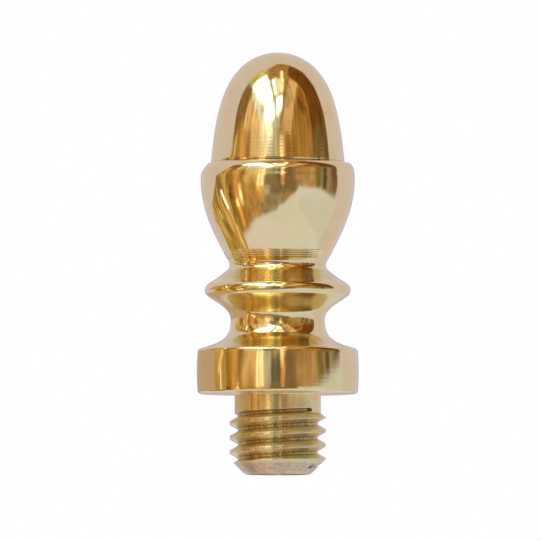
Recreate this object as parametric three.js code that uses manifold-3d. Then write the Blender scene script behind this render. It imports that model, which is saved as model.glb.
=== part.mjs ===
// Acorn finial: a solid turned brass ornament with a threaded stud on the same bar.
//
// From the bottom up it is a stud with a cut thread, a broad flange that seats on whatever the stud
// goes into, a waist, a ring, a neck, the acorn's cup and the nut.
//
// Millimetres. Z is up and is the axis of the lathe. The flat end of the stud stands on z = 0.
// The front faces -Y, and the thread starts a little to the right of it.

import * as THREE from "three";
import { mergeVertices } from "three/addons/utils/BufferGeometryUtils.js";
import Module from "manifold-3d";

// Stud, with the coarse thread of a 10 mm screw. Its start is an angle from +X and a drop below
// the flange, and the blank is the full-size bar that the thread is cut in.
const studLength = 8.4;
const studEndDiameter = 6.8;
const studChamferHeight = 1.6;
const threadDiameter = 10;
const threadPitch = 1.5;
const threadDepth = 0.85;
const threadRootWidth = 0.2;
const threadFlankSlope = 30;
const threadStartAngle = -41;
const threadStartDrop = 1.76;
const neckDiameter = 8.96;
const neckLength = 2.05;
const neckFilletRadius = 0.2;
const blankShoulderHeight = 0.4;

// Flange. Its side is slightly rounded and leans in by this angle at both edges.
const flangeDiameter = 16.82;
const flangeHeight = 4.71;
const flangeSideLean = 4.5;
const flangeLowerEdgeRadius = 0.28;
const flangeUpperEdgeRadius = 0.4;
const flangeTopSlope = 16.5;

// Waist and ring.
const waistDiameter = 9.77;
const waistRise = 2.89;
const ringDiameter = 15.16;
const ringRise = 3.17;
const ringEdgeRadius = 0.786;
const ringUnderSlope = 38;
const ringUpperSlope = 31;

// Neck under the cup.
const cupNeckDiameter = 10;
const cupNeckRise = 2.61;
const cupNeckRadius = 0.7;
const flareTopSlope = 40;

// Cup: its height runs from the neck to the widest point, and the shoulder's from there to the nut.
const cupDiameter = 16.02;
const cupHeight = 9.02;
const cupNeckSlope = 61;
const shoulderHeight = 1.63;
const shoulderTopSlope = 26;
const shoulderLedgeDiameter = 14.6;
const shoulderLedgeRise = 0.06;

// Nut. A fine groove parts it from the shoulder.
const nutDiameter = 13.9;
const nutHeight = 11.39;
const nutSideLean = 6;
const nutTipRadius = 5.4;
const nutTipAngle = 20;
const grooveDepth = 0.07;
const grooveHeight = 0.06;

// Facets round the lathe's axis.
const sides = 52;

// Heights of the seat, the widest and the narrowest places and the tip.
const seatZ = studLength;
const flangeTopZ = seatZ + flangeHeight;
const waistZ = flangeTopZ + waistRise;
const ringZ = waistZ + ringRise;
const cupNeckZ = ringZ + cupNeckRise;
const cupWidestZ = cupNeckZ + cupHeight;
const shoulderTopZ = cupWidestZ + shoulderHeight;
const nutBaseZ = shoulderTopZ + grooveHeight;
const tipZ = nutBaseZ + nutHeight;

const point = (radius, z) => new THREE.Vector2(radius, z);

// The point at a distance from another. Directions are degrees, with 0 outward and 90 up.
function move(from, distance, direction) {
  const angle = THREE.MathUtils.degToRad(direction);
  return point(from.x + distance * Math.cos(angle), from.y + distance * Math.sin(angle));
}

// Points of a rounded edge or corner, from one direction about its centre to another.
function arc(centre, radius, from, to, pieces) {
  const points = [];
  for (let i = 0; i <= pieces; i += 1) {
    points.push(move(centre, radius, from + ((to - from) * i) / pieces));
  }
  return points;
}

// Points of a smooth curve between two ends. It leaves start and enters end along the given
// directions, and each pull is a share of the distance between them.
function sweep(start, startDirection, startPull, end, endDirection, endPull, pieces) {
  const reach = start.distanceTo(end);
  const curve = new THREE.CubicBezierCurve(
    start,
    move(start, startPull * reach, startDirection),
    move(end, -endPull * reach, endDirection),
    end,
  );
  return curve.getPoints(pieces);
}

const first = (points) => points[0];
const last = (points) => points[points.length - 1];
const inner = (points) => points.slice(1, -1);

// Stud, up to the fillet under the flange. Its thread is cut afterwards.
function studOutline() {
  const neckRadius = neckDiameter / 2;
  const neckBottomZ = seatZ - neckLength;
  const filletCentre = point(neckRadius + neckFilletRadius, seatZ - neckFilletRadius);
  return [
    point(0, 0),
    point(studEndDiameter / 2, 0),
    point(threadDiameter / 2, studChamferHeight),
    point(threadDiameter / 2, neckBottomZ - blankShoulderHeight),
    point(neckRadius, neckBottomZ),
    ...arc(filletCentre, neckFilletRadius, 180, 90, 2),
  ];
}

// Flange, from its lower edge to the slope on its top.
function flangeOutline() {
  const lean = THREE.MathUtils.degToRad(flangeSideLean);
  const sideHeight = flangeHeight - flangeLowerEdgeRadius - flangeUpperEdgeRadius;
  const sideRadius = flangeDiameter / 2 - (sideHeight * Math.sin(lean)) / 4;
  const lowerCentre = point(
    sideRadius - flangeLowerEdgeRadius * Math.cos(lean),
    seatZ + flangeLowerEdgeRadius,
  );
  const upperCentre = point(
    sideRadius - flangeUpperEdgeRadius * Math.cos(lean),
    flangeTopZ - flangeUpperEdgeRadius,
  );
  const lowerEdge = arc(lowerCentre, flangeLowerEdgeRadius, -90, -flangeSideLean, 3);
  const upperEdge = arc(upperCentre, flangeUpperEdgeRadius, flangeSideLean, 90 - flangeTopSlope, 3);
  const up = 90 - flangeSideLean;
  const side = sweep(last(lowerEdge), up, 1 / 3, first(upperEdge), 180 - up, 1 / 3, 4);
  return [...lowerEdge, ...inner(side), ...upperEdge];
}

// The ring's rounded edge alone. The curves below and above run into it.
function ringEdge() {
  const centre = point(ringDiameter / 2 - ringEdgeRadius, ringZ);
  return arc(centre, ringEdgeRadius, ringUnderSlope - 90, 90 - ringUpperSlope, 5);
}

// The tight hollow between the ring and the cup.
function cupNeck() {
  const centre = point(cupNeckDiameter / 2 + cupNeckRadius, cupNeckZ);
  return arc(centre, cupNeckRadius, 270 - flareTopSlope, 90 + cupNeckSlope, 4);
}

// The nut's side and its round tip, which ends on the axis.
function nutOutline() {
  const tip = arc(point(0, tipZ - nutTipRadius), nutTipRadius, 90 - nutTipAngle, 90, 3);
  const base = point(nutDiameter / 2, nutBaseZ);
  const side = sweep(base, 90 + nutSideLean, 0.353, first(tip), 180 - nutTipAngle, 0.358, 9);
  return [...side, ...inner(tip), point(0, tipZ)];
}

// The whole bar's outline from the stud's end to the nut's tip, both on the axis.
function barOutline() {
  const flange = flangeOutline();
  const waist = point(waistDiameter / 2, waistZ);
  const ring = ringEdge();
  const neck = cupNeck();
  const cupWidest = point(cupDiameter / 2, cupWidestZ);
  const ledge = point(shoulderLedgeDiameter / 2, shoulderTopZ - shoulderLedgeRise);
  const shoulderTop = point(nutDiameter / 2 - grooveDepth, shoulderTopZ);
  const lowerWaist = sweep(last(flange), 180 - flangeTopSlope, 0.45, waist, 90, 0.47, 6);
  const upperWaist = sweep(waist, 90, 0.37, first(ring), ringUnderSlope, 0.34, 5);
  const flare = sweep(last(ring), 180 - ringUpperSlope, 1 / 3, first(neck), 180 - flareTopSlope, 1 / 3, 3);
  const cup = sweep(last(neck), cupNeckSlope, 0.358, cupWidest, 90, 0.358, 7);
  const shoulder = sweep(cupWidest, 90, 0.53, ledge, 180 - shoulderTopSlope, 0.11, 5);
  return [
    ...studOutline(),
    ...flange,
    ...inner(lowerWaist),
    waist,
    ...inner(upperWaist),
    ...ring,
    ...inner(flare),
    ...neck,
    ...inner(cup),
    cupWidest,
    ...inner(shoulder),
    ledge,
    shoulderTop,
    ...nutOutline(),
  ];
}

// The body that the thread's groove takes away: a tapered section that runs round the axis and
// down, clockwise from above, until it has left the stud.
function grooveBody() {
  const rootRadius = threadDiameter / 2 - threadDepth;
  const outerRadius = threadDiameter / 2 + threadPitch / 16;
  const flank = Math.tan(THREE.MathUtils.degToRad(threadFlankSlope));
  const rootHalf = threadRootWidth / 2;
  const outerHalf = rootHalf + (outerRadius - rootRadius) * flank;
  const section = new THREE.Shape([
    point(rootRadius, -rootHalf),
    point(outerRadius, -outerHalf),
    point(outerRadius, outerHalf),
    point(rootRadius, rootHalf),
  ]);
  const turns = (studLength - threadStartDrop) / threadPitch + 1;
  const geometry = new THREE.ExtrudeGeometry(section, {
    depth: turns,
    steps: Math.round(turns * sides),
    bevelEnabled: false,
  });
  const position = geometry.getAttribute("position");
  const startAngle = THREE.MathUtils.degToRad(threadStartAngle);
  for (let i = 0; i < position.count; i += 1) {
    const radius = position.getX(i);
    const turn = position.getZ(i);
    const angle = startAngle - turn * 2 * Math.PI;
    const z = seatZ - threadStartDrop + position.getY(i) - turn * threadPitch;
    position.setXYZ(i, radius * Math.cos(angle), radius * Math.sin(angle), z);
  }
  return geometry;
}

const wasm = await Module();
wasm.setup();

// Closed solid from a geometry, with the vertices that its faces share merged.
function toSolid(geometry) {
  const bare = geometry.clone();
  bare.deleteAttribute("normal");
  bare.deleteAttribute("uv");
  const merged = mergeVertices(bare, 1e-4);
  const corners = merged.index.array;
  const kept = [];
  for (let i = 0; i < corners.length; i += 3) {
    const [a, b, c] = corners.subarray(i, i + 3);
    if (a !== b && b !== c && c !== a) {
      kept.push(a, b, c);
    }
  }
  return new wasm.Manifold(
    new wasm.Mesh({
      numProp: 3,
      vertProperties: new Float32Array(merged.getAttribute("position").array),
      triVerts: new Uint32Array(kept),
    }),
  );
}

function toGeometry(solid) {
  const mesh = solid.getMesh();
  const geometry = new THREE.BufferGeometry();
  geometry.setAttribute("position", new THREE.BufferAttribute(mesh.vertProperties, 3));
  geometry.setIndex(new THREE.BufferAttribute(mesh.triVerts, 1));
  return geometry;
}

// The turned bar stands along Z, and the thread is cut out of its stud.
function finialGeometry() {
  const bar = new THREE.LatheGeometry(barOutline(), sides);
  bar.rotateX(Math.PI / 2);
  const finial = toSolid(bar).subtract(toSolid(grooveBody()));
  const geometry = toGeometry(finial).toNonIndexed();
  geometry.computeVertexNormals();
  return geometry;
}

const polishedBrass = new THREE.MeshStandardMaterial({
  color: 0xc9a04e,
  metalness: 1,
  roughness: 0.12,
});

const finial = new THREE.Mesh(finialGeometry(), polishedBrass);
finial.name = "acorn_finial";

const group = new THREE.Group();
group.name = "acorn_finial_group";
group.add(finial);

export default group;
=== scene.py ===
"""Acorn finial of turned and polished brass: its fine surface, its metals, the light and the camera.

Sizes are in millimetres until a point becomes a vertex. Z is the axis of the lathe, the stud's flat end
lies at z = 0 and the front faces -Y.
"""
import math

import bmesh
import bpy
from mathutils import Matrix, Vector


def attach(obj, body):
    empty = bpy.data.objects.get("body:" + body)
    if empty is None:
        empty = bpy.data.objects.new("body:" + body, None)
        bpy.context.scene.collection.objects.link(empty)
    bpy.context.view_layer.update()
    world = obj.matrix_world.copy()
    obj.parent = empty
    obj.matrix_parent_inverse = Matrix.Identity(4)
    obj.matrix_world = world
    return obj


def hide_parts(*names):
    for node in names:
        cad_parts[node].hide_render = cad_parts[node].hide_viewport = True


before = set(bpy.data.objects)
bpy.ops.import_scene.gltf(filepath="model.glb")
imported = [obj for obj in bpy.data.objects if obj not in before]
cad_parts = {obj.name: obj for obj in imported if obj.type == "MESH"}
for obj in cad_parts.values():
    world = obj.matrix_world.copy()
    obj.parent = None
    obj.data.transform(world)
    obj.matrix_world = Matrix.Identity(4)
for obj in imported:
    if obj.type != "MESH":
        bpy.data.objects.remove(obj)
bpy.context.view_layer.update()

MM = 0.001
FINIAL = "acorn_finial"

# Stud and thread
STUD_LENGTH = 8.4
STUD_END_RADIUS = 3.4
CHAMFER_HEIGHT = 1.6
CHAMFER_EDGE = 0.25
CHAMFER_ROUNDING = 0.1
THREAD_RADIUS = 5.0
THREAD_PITCH = 1.5
THREAD_DEPTH = 0.85
THREAD_ROOT_HALF_WIDTH = 0.1
THREAD_FLANK_SLOPE = 1 / math.tan(math.radians(30))
THREAD_START_ANGLE = -41
THREAD_START_DROP = 1.76
THREAD_START_SHALLOWER = 0.14
THREAD_RUN_IN_TURNS = 0.5
THREAD_ROUNDING = 0.05
NECK_RADIUS = 4.48
NECK_LENGTH = 2.05
NECK_FILLET = 0.2
BLANK_SHOULDER_HEIGHT = 0.4
PIP_RADIUS = 0.4
PIP_HEIGHT = 0.08

# Flange
FLANGE_RADIUS = 8.41
FLANGE_HEIGHT = 4.71
FLANGE_SIDE_LEAN = 4.5
FLANGE_LOWER_EDGE = 0.28
FLANGE_UPPER_EDGE = 0.4
FLANGE_TOP_SLOPE = 16.5

# Waist and ring
WAIST_RADIUS = 4.885
WAIST_RISE = 2.89
RING_RADIUS = 7.58
RING_RISE = 3.17
RING_EDGE = 0.786
RING_UNDER_SLOPE = 38
RING_UPPER_SLOPE = 31
FLARE_TOP_SLOPE = 40

# Neck under the cup
CUP_NECK_RADIUS = 5.0
CUP_NECK_RISE = 2.61
CUP_NECK_HOLLOW = 0.7

# Cup and nut
CUP_RADIUS = 8.01
CUP_HEIGHT = 9.02
CUP_NECK_SLOPE = 61
FOOT_START = 0.6
FOOT_STEPS = 4
FOOT_STEP = 0.215
FOOT_STEP_DEPTH = 0.036
FOOT_STEP_PEAK = 0.8
SHOULDER_HEIGHT = 1.63
SHOULDER_TOP_SLOPE = 26
SHOULDER_LEDGE_RADIUS = 7.3
SHOULDER_LEDGE_RISE = 0.06
SHOULDER_FULLER_BY = 0.25
SHOULDER_FULLER_AT = -54
SHOULDER_FULLER_FROM = 0.25
SHOULDER_FULLER_RISE = 1.1
NUT_RADIUS = 6.95
NUT_HEIGHT = 11.39
NUT_SIDE_LEAN = 6
NUT_TIP_RADIUS = 5.4
NUT_TIP_ANGLE = 20
GROOVE_DEPTH = 0.07
GROOVE_HEIGHT = 0.06

# Heights
SEAT = STUD_LENGTH
NECK_BOTTOM = SEAT - NECK_LENGTH
THREAD_START = SEAT - THREAD_START_DROP
FLANGE_TOP = SEAT + FLANGE_HEIGHT
WAIST = FLANGE_TOP + WAIST_RISE
RING = WAIST + RING_RISE
CUP_NECK = RING + CUP_NECK_RISE
FOOT_LOW = CUP_NECK + FOOT_START
FOOT_HIGH = FOOT_LOW + FOOT_STEPS * FOOT_STEP
CUP_WIDEST = CUP_NECK + CUP_HEIGHT
SHOULDER_TOP = CUP_WIDEST + SHOULDER_HEIGHT
NUT_BASE = SHOULDER_TOP + GROOVE_HEIGHT
TIP = NUT_BASE + NUT_HEIGHT

# Material slots of the piece
POLISHED = 0
MACHINED = 1

# Mesh fineness
COLUMNS = 192
ROWS_PER_PITCH = 26
CORNER_GAP = 0.03
FOOT_PIECES = 8
THREAD_ZONE_TOP = SEAT - 0.5
MERGE_DISTANCE = 2e-7


# Outline of the bar

def move(start, distance, direction):
    """The point at a distance from another, in degrees from straight outward."""
    angle = math.radians(direction)
    return (start[0] + distance * math.cos(angle), start[1] + distance * math.sin(angle))


def arc(centre, radius, first, last, pieces):
    """Points of a rounded edge from one direction about its centre to another."""
    return [move(centre, radius, first + (last - first) * i / pieces) for i in range(pieces + 1)]


def sweep(start, start_direction, start_pull, end, end_direction, end_pull, pieces):
    """Points of a smooth curve that leaves start and enters end along the given directions."""
    reach = math.dist(start, end)
    near = move(start, start_pull * reach, start_direction)
    far = move(end, -end_pull * reach, end_direction)
    points = []
    for i in range(pieces + 1):
        t = i / pieces
        weights = ((1 - t) ** 3, 3 * (1 - t) ** 2 * t, 3 * (1 - t) * t * t, t ** 3)
        corners = (start, near, far, end)
        points.append(tuple(sum(w * c[axis] for w, c in zip(weights, corners)) for axis in (0, 1)))
    return points


def seat_outline():
    """From the neck, round its fillet and out along the flat seat."""
    centre = (NECK_RADIUS + NECK_FILLET, SEAT - NECK_FILLET)
    fillet = arc(centre, NECK_FILLET, 180, 90, 6)
    rim = flange_outline()[0][0]
    span = rim - fillet[-1][0]
    flat = [(fillet[-1][0] + span * share, SEAT) for share in (0.03, 0.12, 0.35, 0.65, 0.88, 0.97)]
    return fillet + flat


def flange_outline():
    """The flange from its lower edge, up its slightly rounded side, to its upper edge."""
    lean = math.radians(FLANGE_SIDE_LEAN)
    side_height = FLANGE_HEIGHT - FLANGE_LOWER_EDGE - FLANGE_UPPER_EDGE
    side_radius = FLANGE_RADIUS - side_height * math.sin(lean) / 4
    lower_centre = (side_radius - FLANGE_LOWER_EDGE * math.cos(lean), SEAT + FLANGE_LOWER_EDGE)
    upper_centre = (side_radius - FLANGE_UPPER_EDGE * math.cos(lean), FLANGE_TOP - FLANGE_UPPER_EDGE)
    lower = arc(lower_centre, FLANGE_LOWER_EDGE, -90, -FLANGE_SIDE_LEAN, 8)
    upper = arc(upper_centre, FLANGE_UPPER_EDGE, FLANGE_SIDE_LEAN, 90 - FLANGE_TOP_SLOPE, 9)
    up = 90 - FLANGE_SIDE_LEAN
    side = sweep(lower[-1], up, 1 / 3, upper[0], 180 - up, 1 / 3, 16)
    return lower + side[1:-1] + upper


def turned_foot(cup):
    """The cup's outline with fine steps just above its neck, as the turning of its foot leaves them."""
    points = []
    for (radius, z), (next_radius, next_z) in zip(cup, cup[1:]):
        pieces = FOOT_PIECES if next_z > FOOT_LOW and z < FOOT_HIGH else 1
        for i in range(pieces):
            share = i / pieces
            points.append((radius + (next_radius - radius) * share, z + (next_z - z) * share))
    points.append(cup[-1])
    return [(radius + foot_step(z), z) for radius, z in points]


def foot_step(z):
    """How far the foot's steps stand out at a height. Each rises slowly and drops back quickly."""
    if not FOOT_LOW < z < FOOT_HIGH:
        return 0.0
    share = (z - FOOT_LOW) / FOOT_STEP % 1
    return FOOT_STEP_DEPTH * min(share / FOOT_STEP_PEAK, (1 - share) / (1 - FOOT_STEP_PEAK))


def bar_outline():
    """Everything above the thread, from the neck's fillet to the nut's tip."""
    flange = flange_outline()
    waist = (WAIST_RADIUS, WAIST)
    ring_centre = (RING_RADIUS - RING_EDGE, RING)
    ring = arc(ring_centre, RING_EDGE, RING_UNDER_SLOPE - 90, 90 - RING_UPPER_SLOPE, 18)
    neck_centre = (CUP_NECK_RADIUS + CUP_NECK_HOLLOW, CUP_NECK)
    neck = arc(neck_centre, CUP_NECK_HOLLOW, 270 - FLARE_TOP_SLOPE, 90 + CUP_NECK_SLOPE, 12)
    widest = (CUP_RADIUS, CUP_WIDEST)
    ledge = (SHOULDER_LEDGE_RADIUS, SHOULDER_TOP - SHOULDER_LEDGE_RISE)
    shoulder_top = (NUT_RADIUS - GROOVE_DEPTH, SHOULDER_TOP)
    nut_base = (NUT_RADIUS, NUT_BASE)
    nut_up = 90 + NUT_SIDE_LEAN
    tip = arc((0, TIP - NUT_TIP_RADIUS), NUT_TIP_RADIUS, 90 - NUT_TIP_ANGLE, 90, 14)
    lower_waist = sweep(flange[-1], 180 - FLANGE_TOP_SLOPE, 0.45, waist, 90, 0.47, 22)
    upper_waist = sweep(waist, 90, 0.37, ring[0], RING_UNDER_SLOPE, 0.34, 18)
    flare = sweep(ring[-1], 180 - RING_UPPER_SLOPE, 1 / 3, neck[0], 180 - FLARE_TOP_SLOPE, 1 / 3, 10)
    cup = turned_foot(sweep(neck[-1], CUP_NECK_SLOPE, 0.358, widest, 90, 0.358, 42))
    shoulder = sweep(widest, 90, 0.53, ledge, 180 - SHOULDER_TOP_SLOPE, 0.11, 22)
    nut = sweep(nut_base, nut_up, 0.353, tip[0], 180 - NUT_TIP_ANGLE, 0.358, 38)
    return (seat_outline() + flange + lower_waist[1:] + upper_waist[1:-1] + ring + flare[1:-1] + neck
            + cup[1:] + shoulder[1:] + [shoulder_top] + nut + tip[1:-1])


# Stud and thread

def soft_min(a, b, rounding):
    """The smaller of two values, with the corner between them rounded off."""
    blend = max(rounding - abs(a - b), 0) / rounding
    return min(a, b) - blend * blend * rounding / 4


def blank_radius(z):
    """Radius of the stud before its thread is cut."""
    shoulder = NECK_RADIUS + (NECK_BOTTOM - z) * (THREAD_RADIUS - NECK_RADIUS) / BLANK_SHOULDER_HEIGHT
    upper = min(THREAD_RADIUS, max(NECK_RADIUS, shoulder))
    chamfer = STUD_END_RADIUS + z * (THREAD_RADIUS - STUD_END_RADIUS) / CHAMFER_HEIGHT
    edge = max(0.0, 1 - z / CHAMFER_EDGE)
    return soft_min(upper, chamfer - CHAMFER_EDGE * edge * edge / 2, CHAMFER_ROUNDING)


def stud_radius(angle, z):
    """Radius of the threaded stud at an angle in radians and a height."""
    blank = blank_radius(z)
    behind = ((math.radians(THREAD_START_ANGLE) - angle) / math.tau) % 1
    turns = behind + round((THREAD_START - z) / THREAD_PITCH - behind)
    if turns < 0:
        return blank
    offset = abs(THREAD_START - turns * THREAD_PITCH - z)
    depth = THREAD_DEPTH - THREAD_START_SHALLOWER * max(0.0, 1 - turns / THREAD_RUN_IN_TURNS)
    flank = THREAD_RADIUS - depth + max(0.0, offset - THREAD_ROOT_HALF_WIDTH) * THREAD_FLANK_SLOPE
    return soft_min(blank, flank, THREAD_ROUNDING)


def thread_phases():
    """Heights within one pitch, closer together round the crest's and the root's corners."""
    crest_half = THREAD_PITCH / 2 - THREAD_ROOT_HALF_WIDTH - THREAD_DEPTH / THREAD_FLANK_SLOPE
    corners = (THREAD_ROOT_HALF_WIDTH, THREAD_PITCH / 2 - crest_half)
    half = [0.0]
    for corner in corners:
        half += [corner - CORNER_GAP, corner, corner + CORNER_GAP]
    half.append(THREAD_PITCH / 2)
    while len(half) < ROWS_PER_PITCH // 2 + 1:
        gap, at = max((b - a, i) for i, (a, b) in enumerate(zip(half, half[1:])))
        half.insert(at + 1, half[at] + gap / 2)
    return half[:-1] + [THREAD_PITCH - value for value in half[:0:-1]]


def spiral_heights():
    """Heights of the rows at the first column. Each row climbs one pitch as it goes round."""
    start = math.radians(THREAD_START_ANGLE) / math.tau * THREAD_PITCH
    root = THREAD_START - start
    first = math.floor(-root / THREAD_PITCH) - 1
    last = math.ceil((THREAD_ZONE_TOP - root) / THREAD_PITCH)
    heights = []
    for turn in range(first, last + 1):
        heights += [root + turn * THREAD_PITCH + phase for phase in thread_phases()]
    return heights


# Dents that the stud's chamfer has at the right: degrees round from +X, height, radius and depth. The
# pitted band among them runs between two places round and two heights.
DENTS = ((-35.5, 0.78, 0.2, 0.12), (-27, 0.82, 0.17, 0.1), (-25, 0.62, 0.13, 0.08), (-49, 0.4, 0.1, 0.05))
PITTED_ROUND = (-38, -23)
PITTED_HEIGHTS = (0.55, 0.95)


def dent_depth(angle, z, radius):
    """How deep the dents are at a place on the stud."""
    depth = 0.0
    for degrees, height, size, most in DENTS:
        across = math.remainder(angle - math.radians(degrees), math.tau) * radius
        reach = math.hypot(across, z - height) / size
        depth += most * math.exp(-reach * reach)
    return depth


def shoulder_swell(angle, radius, z):
    """How much the cup's shoulder stands out, up to its ledge: buffing has left it fuller at the front
    right than at the back left."""
    rise = min(max((z - CUP_WIDEST - SHOULDER_FULLER_FROM) / SHOULDER_FULLER_RISE, 0.0), 1.0)
    ledge = min((radius - NUT_RADIUS + GROOVE_DEPTH) / (SHOULDER_LEDGE_RADIUS - NUT_RADIUS), 1.0)
    if z > SHOULDER_TOP or ledge <= 0:
        return 0.0
    round_ = math.cos(angle - math.radians(SHOULDER_FULLER_AT))
    return SHOULDER_FULLER_BY * rise * rise * (3 - 2 * rise) * ledge * round_


# Mesh

def add_object(name, data):
    thing = bpy.data.objects.new(name, data)
    bpy.context.scene.collection.objects.link(thing)
    return thing


def angle_of(column):
    return column * math.tau / COLUMNS


def vertex_at(mesh, radius, angle, z):
    return mesh.verts.new((radius * math.cos(angle) * MM, radius * math.sin(angle) * MM, z * MM))


def ring_at(mesh, radius, z):
    return [vertex_at(mesh, radius, angle_of(column), z) for column in range(COLUMNS)]


def add_face(mesh, corners, material):
    face = mesh.faces.new(corners)
    face.material_index = material
    face.smooth = True


def skin(mesh, lower, upper, material):
    """Joins two rings with a band of quads."""
    for column in range(COLUMNS):
        after = (column + 1) % COLUMNS
        add_face(mesh, (lower[column], lower[after], upper[after], upper[column]), material)


def close(mesh, ring, z, material, down=False):
    """Closes a ring with a fan to a point on the axis."""
    middle = vertex_at(mesh, 0, 0, z)
    for column in range(COLUMNS):
        after = (column + 1) % COLUMNS
        pair = (ring[after], ring[column]) if down else (ring[column], ring[after])
        add_face(mesh, pair + (middle,), material)


def add_thread(mesh):
    """The threaded length, in rows that follow the thread's climb. A row's end is the start of the
    row one pitch above it, and rows that leave the zone are flattened onto its ends."""
    rows = []
    for height in spiral_heights():
        row = []
        for column in range(COLUMNS):
            angle = angle_of(column)
            z = min(max(height + THREAD_PITCH * column / COLUMNS, 0.0), THREAD_ZONE_TOP)
            radius = stud_radius(angle, z)
            row.append(vertex_at(mesh, radius - dent_depth(angle, z, radius), angle, z))
        rows.append(row)
    for row in range(len(rows) - 1 - ROWS_PER_PITCH):
        for column in range(COLUMNS):
            climb, after = (0, column + 1) if column + 1 < COLUMNS else (ROWS_PER_PITCH, 0)
            near = (rows[row][column], rows[row + climb][after])
            far = (rows[row + 1 + climb][after], rows[row + 1][column])
            add_face(mesh, near + far, MACHINED)


def add_stud_end(mesh):
    """The flat end face, with the small pip that parting off leaves in its middle."""
    outer = [(blank_radius(0) * share, 0.0) for share in (1, 0.97, 0.85, 0.65, 0.4, 0.2)]
    pip = [(PIP_RADIUS * share, -PIP_HEIGHT * (1 - share * share)) for share in (1, 0.75, 0.5, 0.25)]
    rings = [ring_at(mesh, radius, z) for radius, z in outer + pip]
    for upper, lower in zip(rings, rings[1:]):
        skin(mesh, lower, upper, MACHINED)
    close(mesh, rings[-1], -PIP_HEIGHT, MACHINED, down=True)


def add_bar(mesh):
    """The neck, the flange and everything above, up to the nut's tip."""
    outline = [(NECK_RADIUS, THREAD_ZONE_TOP)] + bar_outline()
    angles = [angle_of(column) for column in range(COLUMNS)]
    rings = []
    for radius, z in outline:
        turned = [(radius + shoulder_swell(angle, radius, z), angle) for angle in angles]
        rings.append([vertex_at(mesh, swollen, angle, z) for swollen, angle in turned])
    for lower, upper, (_, z) in zip(rings, rings[1:], outline):
        skin(mesh, lower, upper, MACHINED if z <= SEAT else POLISHED)
    close(mesh, rings[-1], TIP, POLISHED)


def build_finial():
    """The whole bar as one closed mesh."""
    mesh = bmesh.new()
    add_thread(mesh)
    add_stud_end(mesh)
    add_bar(mesh)
    bmesh.ops.remove_doubles(mesh, verts=mesh.verts, dist=MERGE_DISTANCE)
    bmesh.ops.recalc_face_normals(mesh, faces=mesh.faces)
    data = bpy.data.meshes.new("turned_finial")
    mesh.to_mesh(data)
    mesh.free()
    return add_object("turned_finial", data)


# Nodes

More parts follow.
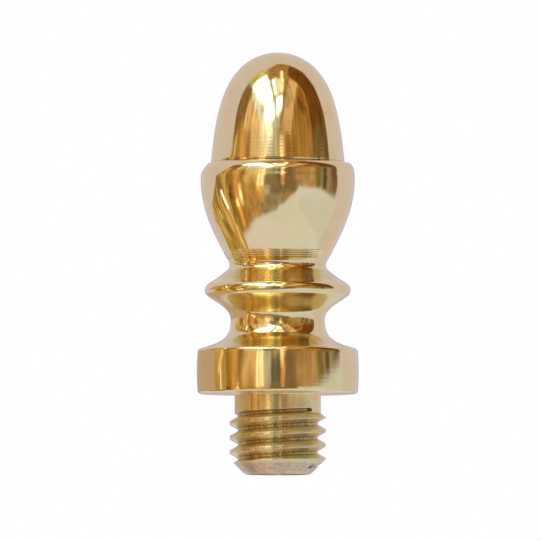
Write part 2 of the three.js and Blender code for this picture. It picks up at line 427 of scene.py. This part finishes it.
class Tree:
    """A node tree, with short calls for the nodes that the materials and the light share."""

    def __init__(self, tree):
        self.tree = tree
        self.tree.nodes.clear()

    def node(self, kind, **settings):
        node = self.tree.nodes.new(kind)
        for name, value in settings.items():
            setattr(node, name, value)
        return node

    def link(self, value, socket):
        if isinstance(value, bpy.types.NodeSocket):
            self.tree.links.new(value, socket)
        else:
            socket.default_value = value

    def math(self, operation, *values):
        node = self.node("ShaderNodeMath", operation=operation)
        for value, socket in zip(values, node.inputs):
            self.link(value, socket)
        return node.outputs[0]

    def step(self, value, low, high, to_low=0.0, to_high=1.0):
        """Rises smoothly from one value to another while the first goes from low to high."""
        node = self.node("ShaderNodeMapRange", interpolation_type="SMOOTHSTEP")
        for item, socket in zip((value, low, high, to_low, to_high), node.inputs):
            self.link(item, socket)
        return node.outputs["Result"]

    def between(self, value, low, high, soft):
        """One between two limits and nothing outside, with soft edges."""
        off_middle = self.math("ABSOLUTE", self.math("SUBTRACT", value, (low + high) / 2))
        half = (high - low) / 2
        return self.step(off_middle, half - soft, half + soft, 1.0, 0.0)

    def curve(self, value, points):
        """A value in degrees turned into another by straight lines between points."""
        node = self.node("ShaderNodeFloatCurve")
        self.link(self.math("MULTIPLY_ADD", value, 1 / 360, 0.5), node.inputs["Value"])
        line = node.mapping.curves[0]
        while len(line.points) < len(points):
            line.points.new(0.5, 0.5)
        for point, (x, y) in zip(line.points, points):
            point.location = (x / 360 + 0.5, y / 90 + 0.5)
            point.handle_type = "VECTOR"
        node.mapping.update()
        return self.math("MULTIPLY_ADD", node.outputs[0], 90.0, -45.0)

    def mix(self, factor, a, b):
        node = self.node("ShaderNodeMix", data_type="RGBA")
        self.link(factor, node.inputs["Factor"])
        for value, socket in zip((a, b), node.inputs[6:8]):
            self.link(value if isinstance(value, bpy.types.NodeSocket) else (*value, 1.0), socket)
        return node.outputs[2]

    def noise(self, vector, scale, detail=2.0, roughness=0.5, colour=False):
        node = self.node("ShaderNodeTexNoise")
        self.link(vector, node.inputs["Vector"])
        for name, value in (("Scale", scale), ("Detail", detail), ("Roughness", roughness)):
            node.inputs[name].default_value = value
        return node.outputs["Color" if colour else "Fac"]

    def vector(self, operation, *values):
        node = self.node("ShaderNodeVectorMath", operation=operation)
        for value, socket in zip(values, node.inputs):
            self.link(value, socket)
        return node.outputs[0]

    def length(self, vector):
        node = self.node("ShaderNodeVectorMath", operation="LENGTH")
        self.link(vector, node.inputs[0])
        return node.outputs["Value"]

    def scaled(self, vector, factors):
        return self.vector("MULTIPLY", vector, factors)

    def place(self):
        """The place on the object, in millimetres."""
        return self.scaled(self.node("ShaderNodeTexCoord").outputs["Object"], (1 / MM, 1 / MM, 1 / MM))

    def parts(self, vector):
        node = self.node("ShaderNodeSeparateXYZ")
        self.link(vector, node.inputs[0])
        return node.outputs

    def together(self, *values):
        node = self.node("ShaderNodeCombineXYZ")
        for value, socket in zip(values, node.inputs):
            self.link(value, socket)
        return node.outputs[0]

    def coloured(self, kind, colour):
        """A shader of one kind with a colour."""
        node = self.node(kind)
        value = colour if isinstance(colour, bpy.types.NodeSocket) else (*colour, 1.0)
        self.link(value, node.inputs["Color"])
        return node.outputs[0]

    def clear(self):
        return self.node("ShaderNodeBsdfTransparent").outputs[0]

    def mix_shader(self, factor, a, b):
        node = self.node("ShaderNodeMixShader")
        for value, socket in zip((factor, a, b), node.inputs):
            self.link(value, socket)
        return node.outputs[0]

    def surface(self, shader, kind="ShaderNodeOutputMaterial"):
        """Makes a shader the result of the tree."""
        self.link(shader, self.node(kind).inputs["Surface"])

    def bump(self, height, strength, distance, below=None):
        node = self.node("ShaderNodeBump")
        node.inputs["Strength"].default_value = strength
        node.inputs["Distance"].default_value = distance
        self.link(height, node.inputs["Height"])
        if below is not None:
            self.link(below, node.inputs["Normal"])
        return node.outputs["Normal"]


def new_material(name):
    material = bpy.data.materials.new(name)
    material.use_nodes = True
    return material, Tree(material.node_tree)


def lathe_coordinates(tree):
    """The place on the object in millimetres, and its angle in radians, radius and height as one vector
    and singly. A noise read with that vector draws rings where it is stretched round the axis."""
    place = tree.place()
    x, y, z = tree.parts(place)
    square = tree.math("ADD", tree.math("MULTIPLY", x, x), tree.math("MULTIPLY", y, y))
    radius = tree.math("SQRT", square)
    angle = tree.math("ARCTAN2", y, x)
    return place, tree.together(angle, radius, z), angle, radius, z


BRASS = (0.90, 0.74, 0.38)
BRASS_DEEP = (0.84, 0.64, 0.28)
# Painted shade: the colour of the slopes of the flange and the ring
BRASS_PAINTED_SHADE = (0.79, 0.65, 0.26)
BRASS_CUT = (0.78, 0.65, 0.32)
BRASS_DULL = (0.93, 0.76, 0.50)
STAIN = (0.66, 0.50, 0.28)
# Very dark brown for the thread's root, the lines under the neck, the notch and the chamfer's pits
DARKEST = (0.13, 0.075, 0.03)


def metal(name):
    """A material with a metallic shader whose gloss runs round the axis, as the marks of turning do."""
    material, tree = new_material(name)
    shader = tree.node("ShaderNodeBsdfPrincipled")
    shader.inputs["Metallic"].default_value = 1.0
    shader.inputs["Anisotropic Rotation"].default_value = 0.25
    around = tree.node("ShaderNodeTangent", direction_type="RADIAL", axis="Z")
    tree.link(around.outputs[0], shader.inputs["Tangent"])
    tree.surface(shader.outputs[0])
    return material, tree, shader.inputs


def polished_brass():
    """Bright buffed brass: soft waves left by buffing, fine hairlines, and turning rings that show most
    low on the nut, on the flange's side and at the cup's foot. The slopes of the flange and the ring are
    brushed rougher, and painted shade makes their colour less bright."""
    material, tree, shader = metal("polished_brass")
    place, rings, _, _, z = lathe_coordinates(tree)
    waves = tree.noise(place, 0.22, 1.0)
    fine_rings = tree.noise(tree.scaled(rings, (0.5, 5, 5)), 1.0, 3.0)
    hairlines = tree.noise(tree.scaled(rings, (2.5, 22, 22)), 1.0, 2.0)
    near_nut_base = tree.between(z, NUT_BASE + 0.1, NUT_BASE + 2.6, 0.8)
    cup_foot = tree.between(z, FOOT_LOW, FOOT_HIGH, 0.1)
    flange_side = tree.between(z, SEAT + 0.4, FLANGE_TOP - 0.5, 0.1)
    lined = tree.math("MAXIMUM", near_nut_base, tree.math("MULTIPLY", flange_side, 0.6))
    ring_height = tree.math("MULTIPLY", fine_rings, tree.math("MULTIPLY_ADD", lined, 0.9, 0.1))
    ring_height = tree.math("MULTIPLY", ring_height, tree.math("MULTIPLY_ADD", cup_foot, 12.0, 1.0))
    normal = tree.bump(waves, 0.5, 0.0001)
    normal = tree.bump(ring_height, 0.5, 0.000014, normal)
    normal = tree.bump(hairlines, 0.15, 0.000004, normal)
    tree.link(normal, shader["Normal"])
    top_of_flange = tree.between(z, FLANGE_TOP + 0.05, FLANGE_TOP + 1.0, 0.25)
    under_ring = tree.between(z, WAIST + 1.0, RING - 0.5, 0.3)
    above_ring = tree.between(z, RING + 1.0, CUP_NECK - 0.6, 0.2)
    brushed_and_shaded = tree.math("MAXIMUM", tree.math("MAXIMUM", top_of_flange, under_ring), above_ring)
    tint = tree.step(tree.noise(place, 0.5, 3.0), 0.4, 0.75, 0.0, 0.35)
    colour = tree.mix(tint, BRASS, BRASS_DEEP)
    # The slopes of the flange and the ring: painted shade in their darker colour, and rougher brushing
    colour = tree.mix(tree.math("MULTIPLY", brushed_and_shaded, 0.8), colour, BRASS_PAINTED_SHADE)
    tree.link(colour, shader["Base Color"])
    gloss = tree.step(hairlines, 0.35, 0.7, 0.06, 0.11)
    rough = tree.math("MULTIPLY_ADD", brushed_and_shaded, 0.12, gloss)
    tree.link(tree.math("MULTIPLY_ADD", cup_foot, 0.04, rough), shader["Roughness"])
    shader["Anisotropic"].default_value = 0.7
    return material


def darker_root(tree, radius, torn):
    """Darker in the thread's root, patchy."""
    root = THREAD_RADIUS - THREAD_DEPTH
    deep = tree.step(radius, root, root + 0.3, 0.5, 0.0)
    return tree.math("MULTIPLY", deep, tree.step(torn, 0.25, 0.6, 0.3, 1.0))


def dark_lines(tree, radius, z):
    """A thin dark line under the neck, and where the thread runs out into it."""
    under_neck = tree.between(z, NECK_BOTTOM - 0.16, NECK_BOTTOM - 0.02, 0.03)
    run_out = tree.math("MULTIPLY", tree.step(z, NECK_BOTTOM - 0.1, NECK_BOTTOM),
                        tree.step(radius, NECK_RADIUS - 0.06, NECK_RADIUS - 0.02, 1.0, 0.0))
    return tree.math("MULTIPLY", tree.math("MAXIMUM", under_neck, run_out), 0.5)


def notch_and_pits(tree, place, angle, z):
    """Dark in the notch where the thread starts and in the pits of the chamfer."""
    start = math.radians(THREAD_START_ANGLE)
    notch = tree.math("MULTIPLY", tree.between(angle, start - 0.07, start + 0.05, 0.02),
                      tree.between(z, THREAD_START - 0.2, THREAD_START + 0.15, 0.05))
    band = tree.math("MULTIPLY", tree.between(angle, *map(math.radians, PITTED_ROUND), 0.04),
                     tree.between(z, *PITTED_HEIGHTS, 0.08))
    pits = tree.math("MULTIPLY", band, tree.step(tree.noise(place, 3.5, 3.0), 0.42, 0.58))
    return tree.math("MAXIMUM", notch, pits)


def machined_brass():
    """Brass as the cutting tool leaves it: fine rings, marks across the thread, a duller gloss, a stained
    chamfer, and very dark brown in the thread's root, under the neck, in the notch and in the chamfer's
    pits."""
    material, tree, shader = metal("machined_brass")
    place, rings, angle, radius, z = lathe_coordinates(tree)
    tool_rings = tree.noise(tree.scaled(rings, (0.5, 6, 6)), 1.0, 1.0)
    chatter = tree.noise(tree.scaled(rings, (8, 0.5, 0.6)), 1.0, 0.0)
    torn = tree.noise(place, 3.0, 1.0)
    cut = tree.step(z, NECK_BOTTOM + 0.1, NECK_BOTTOM - 0.3)
    chamfer = tree.step(z, CHAMFER_HEIGHT - 0.3, CHAMFER_HEIGHT - 0.6)
    normal = tree.bump(tool_rings, 0.4, 0.00001)
    normal = tree.bump(tree.math("MULTIPLY", chatter, cut), 0.4, 0.00001, normal)
    tree.link(normal, shader["Normal"])

    colour = tree.mix(tree.step(torn, 0.35, 0.7, 0.1, 0.8), BRASS, BRASS_DEEP)
    colour = tree.mix(tree.math("MULTIPLY", cut, 0.9), colour, BRASS_CUT)
    stains = tree.step(tree.noise(place, 2.2, 5.0, 0.65), 0.45, 0.75)
    colour = tree.mix(chamfer, colour, tree.mix(stains, BRASS_DULL, STAIN))
    bare = tree.math("MULTIPLY", cut, tree.math("SUBTRACT", 1.0, chamfer))
    root = tree.math("MULTIPLY", darker_root(tree, radius, torn), bare)
    darkening = tree.math("MAXIMUM", root, dark_lines(tree, radius, z))
    darkening = tree.math("MAXIMUM", darkening, notch_and_pits(tree, place, angle, z))
    # Very dark brown in the thread's root, under the neck, where the thread runs out, in the notch and in
    # the pits
    tree.link(tree.mix(darkening, colour, DARKEST), shader["Base Color"])
    rough = tree.math("MULTIPLY_ADD", chamfer, 0.22, tree.math("MULTIPLY_ADD", cut, 0.03, 0.21))
    tree.link(tree.math("ADD", rough, tree.step(torn, 0.3, 0.7, 0.0, 0.05)), shader["Roughness"])
    shader["Anisotropic"].default_value = 1.0
    return material


# Light

def sky_coordinates(tree):
    """Where a ray goes, as a vector, in degrees round from the front and up, and as rightward, frontward
    and upward parts. It is bent a little at random, so that what stands round the object has uneven
    edges."""
    straight = tree.node("ShaderNodeTexCoord").outputs["Generated"]
    bent = straight
    for scale, reach in ((3.0, 0.10), (11.0, 0.035)):
        offset = tree.vector("SUBTRACT", tree.noise(straight, scale, 2.0, colour=True), (0.5, 0.5, 0.5))
        bent = tree.vector("ADD", bent, tree.scaled(offset, (reach, reach, reach)))
    bent = tree.vector("NORMALIZE", bent)
    right, back, up = tree.parts(bent)
    front = tree.math("MULTIPLY", back, -1.0)
    round_ = tree.math("DEGREES", tree.math("ARCTAN2", right, front))
    rise = tree.math("DEGREES", tree.math("ARCSINE", up))
    return bent, round_, rise, right, front, up


PALE_WALL = (0.67, 0.63, 0.78)
PALE_WALL_BEHIND = (0.53, 0.46, 0.53)
PALE_TABLE = (0.72, 0.77, 0.97)
PALE_TABLE_LEFT = (0.75, 0.74, 0.96)
ROOM = (0.39, 0.21, 0.06)

# What stands round the object, seen from it: degrees round from and to, degrees up from and to, edge
# softness, colour. Degrees round count from the front, positive to the right.
SURROUNDINGS = (
    (-130, -100, -30, -8, 4, (0.44, 0.34, 0.09)),
    (-105, -86, -12, 12, 3, (0.26, 0.16, 0.05)),
    (-105, -93, -8, 9, 3, (0.52, 0.38, 0.27)),
    (-88, -72, -40, 20, 3, (0.36, 0.205, 0.045)),
    (-82, -76, -16, -5, 2, (0.14, 0.06, 0.02)),
    (-72, -58, -10, 16, 3, (0.60, 0.34, 0.12)),
    (-71, -64, -36, 0, 2, (0.84, 0.40, 0.13)),
    (-70, -66, -23, -17, 1.2, (1.6, 1.3, 0.7)),
    (-58, -50, -40, 16, 2, (0.40, 0.23, 0.08)),
    (-51, -31, -38, -3, 3, (0.50, 0.30, 0.11)),
    (-51, -31, -4, 24, 3, (0.75, 0.50, 0.26)),
    (-70, -44, 19, 34, 3, (0.82, 0.52, 0.27)),
    (-46, -28, 10, 24, 3, (0.68, 0.57, 0.38)),
    (-28, -8, 12, 28, 3, (0.80, 0.82, 0.78)),
    (-21, -8, -38, 14, 2, (0.54, 0.50, 0.46)),
    (-31, 2, -38, -16, 3, (0.33, 0.26, 0.16)),
    (-12, 13, -34, -12, 4, (0.34, 0.30, 0.25)),
    (-12, 13, -16, -2, 3, (0.21, 0.165, 0.11)),
    (-10, 4, -4, 9, 1.5, (0.14, 0.138, 0.12)),
    (-9, 3, 9, 24, 3, (0.50, 0.47, 0.38)),
    (12, 34, -16, -2, 3, (0.25, 0.19, 0.10)),
    (11, 28, -6, 10, 2, (0.24, 0.15, 0.095)),
    (28, 61, -12, 10, 3, (0.45, 0.29, 0.16)),
    (60, 68, 12, 20, 2, (0.56, 0.26, 0.08)),
    (60, 69, -12, 12, 2, (0.23, 0.17, 0.06)),
    (69, 102, -12, 10, 2, (0.30, 0.25, 0.20)),
    (73, 80, -12, 10, 1.5, (0.11, 0.08, 0.04)),
    (90, 103, -12, 12, 2, (0.20, 0.11, 0.07)),
    (68, 102, 10, 22, 3, (0.17, 0.12, 0.05)),
    (70, 103, 20, 80, 4, (0.17, 0.07, 0.015)),
    (4, 9.5, -7, 10, 0.8, (0.64, 0.36, 0.19)),
    (4.5, 7.5, 4, 7, 0.8, (1.5, 0.85, 0.35)),
    (3, 14, 9, 19, 1.5, (1.1, 0.56, 0.22)),
    (5, 11, 8, 17.5, 1.2, (1.5, 1.35, 1.05)),
    (-32, -19.5, -12, 14, 1, (1.15, 0.56, 0.16)),
    (-30, -22, -25, -8, 3, (0.86, 0.47, 0.21)),
    (-30.5, -20.5, -7, 13, 0.6, (1.15, 0.78, 0.44)),
    (-30.5, -28.0, -7, 13, 0.8, (1.5, 1.3, 1.0)),
    (-26, -21, -7, 13, 1, (1.5, 1.3, 1.1)),
    (-63, -57, -23, -4, 1.5, (1.11, 0.80, 0.40)),
    (-61, -58, -18, -11, 1, (1.5, 1.5, 1.3)),
)

# The window and the ceiling round it, on a level plane one high: colour and corners, rightward and
# frontward, anticlockwise
GLARE = (2.4, 2.7, 3.2)
CREAM = (1.15, 1.12, 0.95)
OVERHEAD = (
    ((0.86, 0.57, 0.33), ((-3.4, 0.9), (-1.2, 0.7), (-1.2, 3.4), (-3.4, 3.4))),
    ((0.26, 0.16, 0.07), ((-4.0, -0.1), (-1.0, -0.1), (-1.0, 0.42), (-2.4, 1.0), (-4.0, 1.6))),
    ((1.05, 0.90, 0.80), ((-1.3, 1.9), (-1.15, 2.0), (-1.5, 3.2), (-1.8, 2.8))),
    ((0.82, 0.92, 1.02), ((-1.3, 0.7), (-0.9, 0.3), (-0.8, 3.4), (-1.3, 3.4))),
    ((0.34, 0.35, 0.12), ((-0.46, 0.08), (-0.28, 0.04), (-0.14, 0.25), (-0.21, 0.38))),
    ((0.62, 0.58, 0.28), ((-1.05, 0.0), (-0.3, 0.0), (-0.3, 0.3), (-1.05, 0.3))),
    ((0.50, 0.57, 0.56), ((-0.5, 0.1), (0.0, 1.0), (0.2, 2.6), (-0.6, 2.6))),
    (GLARE, ((-1.0, 0.28), (-0.33, 0.25), (-0.25, 1.33), (-0.76, 1.38), (-1.0, 1.1))),
    (GLARE, ((-0.80, 1.45), (-0.25, 1.38), (-0.24, 2.0), (-0.48, 2.3), (-1.0, 2.2))),
    ((1.6, 1.7, 1.7), ((-1.0, 2.2), (-0.48, 2.3), (-0.55, 3.3), (-1.02, 3.3))),
    ((0.42, 0.23, 0.10), ((-0.22, -0.1), (0.3, -0.1), (0.3, 0.5), (-0.22, 0.5))),
    (CREAM, ((-0.2, 0.5), (0.2, 0.45), (0.25, 1.0), (-0.15, 1.1))),
    ((1.10, 0.85, 0.55), ((-0.09, 0.42), (0.0, 0.42), (0.0, 1.0), (-0.07, 1.0))),
    (GLARE, ((-0.19, 0.5), (-0.1, 0.5), (-0.07, 1.07), (-0.14, 1.1))),
    ((1.5, 1.5, 1.2), ((0.07, 0.16), (0.13, 0.16), (0.23, 0.95), (0.17, 0.95))),
    (GLARE, ((-0.08, 1.2), (0.24, 1.1), (0.3, 1.5), (0.02, 1.95), (-0.1, 1.9))),
    ((0.40, 0.24, 0.07), ((0.27, 0.3), (0.4, 0.3), (0.4, 3.4), (0.27, 3.4))),
    ((0.68, 0.46, 0.28), ((0.38, 0.36), (0.72, 0.40), (1.0, 1.6), (1.2, 2.9), (0.40, 2.9))),
    ((0.66, 0.42, 0.22), ((0.36, 2.0), (0.80, 2.0), (0.80, 3.4), (0.36, 3.4))),
    ((0.21, 0.10, 0.02), ((0.9, 0.8), (1.9, 0.9), (1.9, 1.35), (1.2, 1.3))),
    ((0.17, 0.065, 0.015), ((0.3, -0.4), (1.25, -0.4), (1.25, 0.55), (0.7, 0.4), (0.3, 0.35))),
    ((0.17, 0.065, 0.015), ((1.2, -0.4), (4.0, -0.4), (4.0, 1.6), (1.2, 0.53))),
    ((0.33, 0.125, 0.045), ((0.85, 0.5), (1.3, 0.6), (1.6, 0.95), (1.0, 0.8))),
)


# Edge of the pale table: degrees round from the front and degrees up
TABLE_EDGE = (
    (-180, -12), (-150, -18), (-136, -30), (-126, -44), (-84, -44), (-78, -39), (-60, -39), (-45, -36),
    (-20, -35), (-2, -33), (4, -27), (12, -25), (16, -21), (26, -16), (33, -8.5), (45, -8), (75, -10),
    (101, -13), (104, -34), (140, -30), (180, -12),
)

# Even light for dull surfaces, the white behind everything, and the lowest height that the window's plane
# is read at
SOFT_LIGHT = (1.07, 1.07, 1.07)
WHITE = (1.0, 1.0, 1.0)
LOWEST = 0.02


def shape(tree, across, along, corners, soft):
    """One inside a convex shape given by its corners, anticlockwise, and nothing outside."""
    inside = 1.0
    for (x, y), (next_x, next_y) in zip(corners, corners[1:] + corners[:1]):
        length = math.hypot(next_x - x, next_y - y)
        inward = ((y - next_y) / length, (next_x - x) / length)
        offset = inward[0] * x + inward[1] * y
        depth = tree.math("MULTIPLY_ADD", along, inward[1], -offset)
        depth = tree.math("MULTIPLY_ADD", across, inward[0], depth)
        inside = tree.math("MULTIPLY", tree.step(depth, -soft, soft), inside)
    return inside


def surroundings(tree, round_, rise):
    """The colours of what stands round the object."""
    colour = ROOM
    for left, right, low, high, soft, tone in SURROUNDINGS:
        inside = tree.math("MULTIPLY", tree.between(round_, left, right, soft),
                           tree.between(rise, low, high, soft))
        colour = tree.mix(inside, colour, tone)
    return colour


def window(tree, right, front, up, colour):
    """Puts the window and the ceiling over the colours so far."""
    height = tree.math("MAXIMUM", up, LOWEST)
    across = tree.math("DIVIDE", right, height)
    ahead = tree.math("DIVIDE", front, height)
    overhead = tree.step(up, 0.27, 0.33)
    for tone, corners in OVERHEAD:
        inside = shape(tree, across, ahead, corners, 0.04)
        colour = tree.mix(tree.math("MULTIPLY", inside, overhead), colour, tone)
    return colour


def mottled(tree, bent, round_, rise, colour):
    """Makes the colours uneven, with upright streaks and soft patches."""
    along = tree.together(tree.math("MULTIPLY", round_, 0.22), tree.math("MULTIPLY", rise, 0.03), 0.0)
    streaks = tree.step(tree.noise(along, 1.0, 4.0, 0.65), 0.3, 0.7, -0.32, 0.32)
    streaks = tree.math("MULTIPLY", streaks, tree.step(rise, 4, 18, 0.45, 1.0))
    patches = tree.step(tree.noise(bent, 7.0, 3.0), 0.3, 0.7, 0.8, 1.2)
    shade = tree.math("MULTIPLY_ADD", streaks, patches, patches)
    return tree.scaled(colour, tree.together(shade, shade, shade))


def wall_and_table(tree, round_, rise, right, front, colour):
    """Puts the pale wall at the sides and behind, and the pale table below, over the colours so far."""
    at_right = tree.step(right, -0.25, 0.05)
    at_left = tree.math("SUBTRACT", 1.0, at_right)
    left_edge = tree.math("MULTIPLY", tree.step(rise, -30, 14, -0.66, 0.0), at_left)
    edge = tree.math("ADD", left_edge, tree.math("MULTIPLY", -0.2, at_right))
    wall = tree.step(tree.math("SUBTRACT", edge, front), -0.02, 0.02)
    pale = tree.mix(tree.step(front, -0.93, -0.99), PALE_WALL, PALE_WALL_BEHIND)
    colour = tree.mix(wall, colour, pale)
    table_edge = tree.curve(round_, TABLE_EDGE)
    table = tree.step(tree.math("SUBTRACT", table_edge, rise), -1.5, 1.5)
    return tree.mix(table, colour, tree.mix(tree.step(round_, -50, 40), PALE_TABLE_LEFT, PALE_TABLE))


def room():
    """Polished metal mirrors the room. Other surfaces get even light, and the camera sees white."""
    world = bpy.data.worlds.new("room")
    world.use_nodes = True
    bpy.context.scene.world = world
    tree = Tree(world.node_tree)
    bent, round_, rise, right, front, up = sky_coordinates(tree)
    colour = surroundings(tree, round_, rise)
    colour = window(tree, right, front, up, colour)
    colour = mottled(tree, bent, round_, rise, colour)
    colour = wall_and_table(tree, round_, rise, right, front, colour)
    rays = tree.node("ShaderNodeLightPath").outputs
    even = tree.coloured("ShaderNodeBackground", SOFT_LIGHT)
    light = tree.mix_shader(rays["Is Glossy Ray"], even, tree.coloured("ShaderNodeBackground", colour))
    white = tree.coloured("ShaderNodeBackground", WHITE)
    tree.surface(tree.mix_shader(rays["Is Camera Ray"], light, white), "ShaderNodeOutputWorld")
    world.cycles.sampling_method = "NONE"


# Floor, in metres: its size and the distances from the middle between which it fades out
FLOOR_SIZE = 0.4
FLOOR_FADE = (0.07, 0.2)
FLOOR_COLOUR = (0.77, 0.77, 0.765)


def floor():
    """A plain pale floor that fades into the white behind it. It is open from below, where the camera
    looks slightly up at the flange."""
    mesh = bmesh.new()
    bmesh.ops.create_grid(mesh, x_segments=1, y_segments=1, size=FLOOR_SIZE)
    data = bpy.data.meshes.new("floor")
    mesh.to_mesh(data)
    mesh.free()
    ground = add_object("floor", data)
    ground.visible_glossy = False
    ground.visible_shadow = False
    material, tree = new_material("floor")
    paint = tree.coloured("ShaderNodeBsdfDiffuse", FLOOR_COLOUR)
    far = tree.step(tree.length(tree.node("ShaderNodeTexCoord").outputs["Object"]), *FLOOR_FADE)
    under = tree.node("ShaderNodeNewGeometry").outputs["Backfacing"]
    tree.surface(tree.mix_shader(tree.math("MAXIMUM", under, far), paint, tree.clear()))
    data.materials.append(material)


# Heights between which a blotchy card turns from plain to streaked
PLAIN_BELOW = 13
STREAKED_ABOVE = 17


def blotches(tree, place, colour, blotch):
    """Upright streaks of a second colour, above a plain foot that has a little of it."""
    z = tree.parts(place)[2]
    streaks = tree.step(tree.noise(tree.scaled(place, (0, 0.55, 0.09)), 1.0, 3.0), 0.38, 0.62)
    streaks = tree.math("MULTIPLY", streaks, tree.step(z, PLAIN_BELOW, STREAKED_ABOVE, 0.25, 1.0))
    foot = tree.step(z, PLAIN_BELOW, STREAKED_ABOVE, 0.35, 0.0)
    return tree.mix(tree.math("ADD", streaks, foot), colour, blotch)


def card(name, corners, colour, blotch=None, fade=None, blur=None):
    """A flat glowing card near the object that only polished metal shows, in place of lit surroundings. A
    second colour makes it blotchy. It can fade out towards a slanting top edge, given by its height at the
    middle, its rise per length and how far down the fading reaches. As a blur it fades out all round,
    given by the rightward and upward place of its middle and how far it reaches."""
    data = bpy.data.meshes.new(name)
    points = [(x * MM, y * MM, z * MM) for x, y, z in corners]
    data.from_pydata(points, [], [tuple(range(len(corners)))])
    sheet = add_object(name, data)
    for rays in ("camera", "diffuse", "transmission", "volume_scatter", "shadow"):
        setattr(sheet, "visible_" + rays, False)
    material, tree = new_material(name)
    place = tree.place()
    glow = tree.coloured("ShaderNodeEmission", blotches(tree, place, colour, blotch) if blotch else colour)
    if fade:
        height, rise, reach = fade
        _, y, z = tree.parts(place)
        top = tree.math("MULTIPLY_ADD", y, rise, height)
        glow = tree.mix_shader(tree.step(tree.math("SUBTRACT", top, z), 0, reach), tree.clear(), glow)
    if blur:
        across, up, reach = blur
        off_middle = tree.length(tree.vector("SUBTRACT", place, (across, corners[0][1], up)))
        glow = tree.mix_shader(tree.step(off_middle, reach * 0.4, reach), glow, tree.clear())
    tree.surface(glow)
    data.materials.append(material)


def beside(x, *corners):
    """Corners in a plane across the left-right axis, from frontward-backward and upward places."""
    return [(x, y, z) for y, z in corners]


# Planes of the brass thing at the left, of its dark streak and of its bright marks
SIDE_AT = -21
STREAK_AT = -20.9
MARKS_AT = -20.8


def cards():
    """Glowing cards that only polished metal shows: pale paper rises at the right, a tan cloth hangs low
    at the left, a bigger brass thing with bright marks stands beyond it, and something brown stands out of
    focus in front."""
    paper = ((78, -112, -8), (67, 12, 28), (67, 12, -20), (78, -112, -40))
    card("raised_paper", paper, (0.66, 0.71, 0.89), fade=(22, 0.286, 12))
    cloth = beside(-14, (-3.8, 5.5), (14, 5.5), (40, 2), (40, 20), (14, 16), (-3.4, 15))
    card("tan_cloth", cloth, (0.54, 0.42, 0.36))
    side = beside(SIDE_AT, (-9, 4), (-9, 41), (-6.5, 39), (-3.5, 35.5), (-0.9, 32.5), (0.5, 29), (2.5, 27),
                  (8.5, 24), (11, 21), (2, 13), (-3, 5))
    card("brass_side", side, (0.26, 0.155, 0.05), blotch=(0.76, 0.52, 0.20))
    streak = beside(STREAK_AT, (-9, 17), (-9, 26), (-8.3, 26), (-8.3, 17))
    card("brass_dark", streak, (0.14, 0.07, 0.02))
    glint = beside(MARKS_AT, (-4.1, 27.6), (-2.8, 27.6), (-5.3, 21.2), (-6.7, 21.2))
    card("brass_glint", glint, (1.6, 1.7, 1.9))
    lip = beside(MARKS_AT, (-6.7, 21.2), (-6.0, 21.2), (-5.6, 13), (-6.4, 13))
    card("brass_lip", lip, (0.85, 0.66, 0.28))
    line = beside(MARKS_AT, (-6.4, 15), (-5.7, 15), (-5.5, 5), (-6.2, 5))
    card("brass_line", line, (1.05, 1.0, 0.75))
    smoke = ((-23, -60, 23), (15, -60, 23), (15, -60, 33), (-8, -60, 47), (-23, -60, 47))
    card("smoke", smoke, (0.27, 0.205, 0.14), blur=(-12, 28, 16))
    spot = beside(MARKS_AT, (1.2, 22.4), (2.6, 23), (1.6, 20), (0.6, 20))
    card("brass_spot", spot, (0.95, 0.72, 0.22))
    foot = beside(MARKS_AT, (-8, 15), (-6.6, 16), (-4, 11), (-5, 10))
    card("brass_foot", foot, (0.95, 0.60, 0.20))


def look(thing, place, target):
    """Puts a light or a camera at a place, aimed at a target."""
    thing.location = place
    thing.rotation_euler = (Vector(target) - Vector(place)).to_track_quat("-Z", "Y").to_euler()


def key_light():
    """A large soft light at the upper left front, which gives the floor its shadow."""
    data = bpy.data.lights.new("key", "AREA")
    data.size = 1.2
    data.energy = 14
    light = add_object("key", data)
    light.visible_glossy = False
    light.visible_camera = False
    look(light, (-1.2, -1.4, 1.8), (0, 0, 0.02))


# Camera: metres away, degrees it looks up, the point it looks at and the width that it sees there, both
# in millimetres, and its sensor's width
CAMERA_DISTANCE = 2.5
CAMERA_RISE = 2.3
AIM = (-0.806, 21.26)
VIEW_WIDTH = 56.13
SENSOR_WIDTH = 36


def camera():
    """Far off and slightly low, as for a long lens."""
    data = bpy.data.cameras.new("camera")
    data.sensor_width = SENSOR_WIDTH
    data.lens = SENSOR_WIDTH * CAMERA_DISTANCE / (VIEW_WIDTH * MM)
    data.clip_end = 100
    view = add_object("camera", data)
    aim = Vector((AIM[0] * MM, 0, AIM[1] * MM))
    rise = math.radians(CAMERA_RISE)
    place = aim + CAMERA_DISTANCE * Vector((0, -math.cos(rise), -math.sin(rise)))
    look(view, place, aim)
    bpy.context.scene.camera = view


finial = build_finial()
finial.data.materials.append(polished_brass())
finial.data.materials.append(machined_brass())
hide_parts(FINIAL)
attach(finial, "root")

room()
floor()
cards()
key_light()
camera()

settings = bpy.context.scene.view_settings
settings.view_transform = "Standard"
settings.look = "None"
settings.exposure = 0
settings.gamma = 1
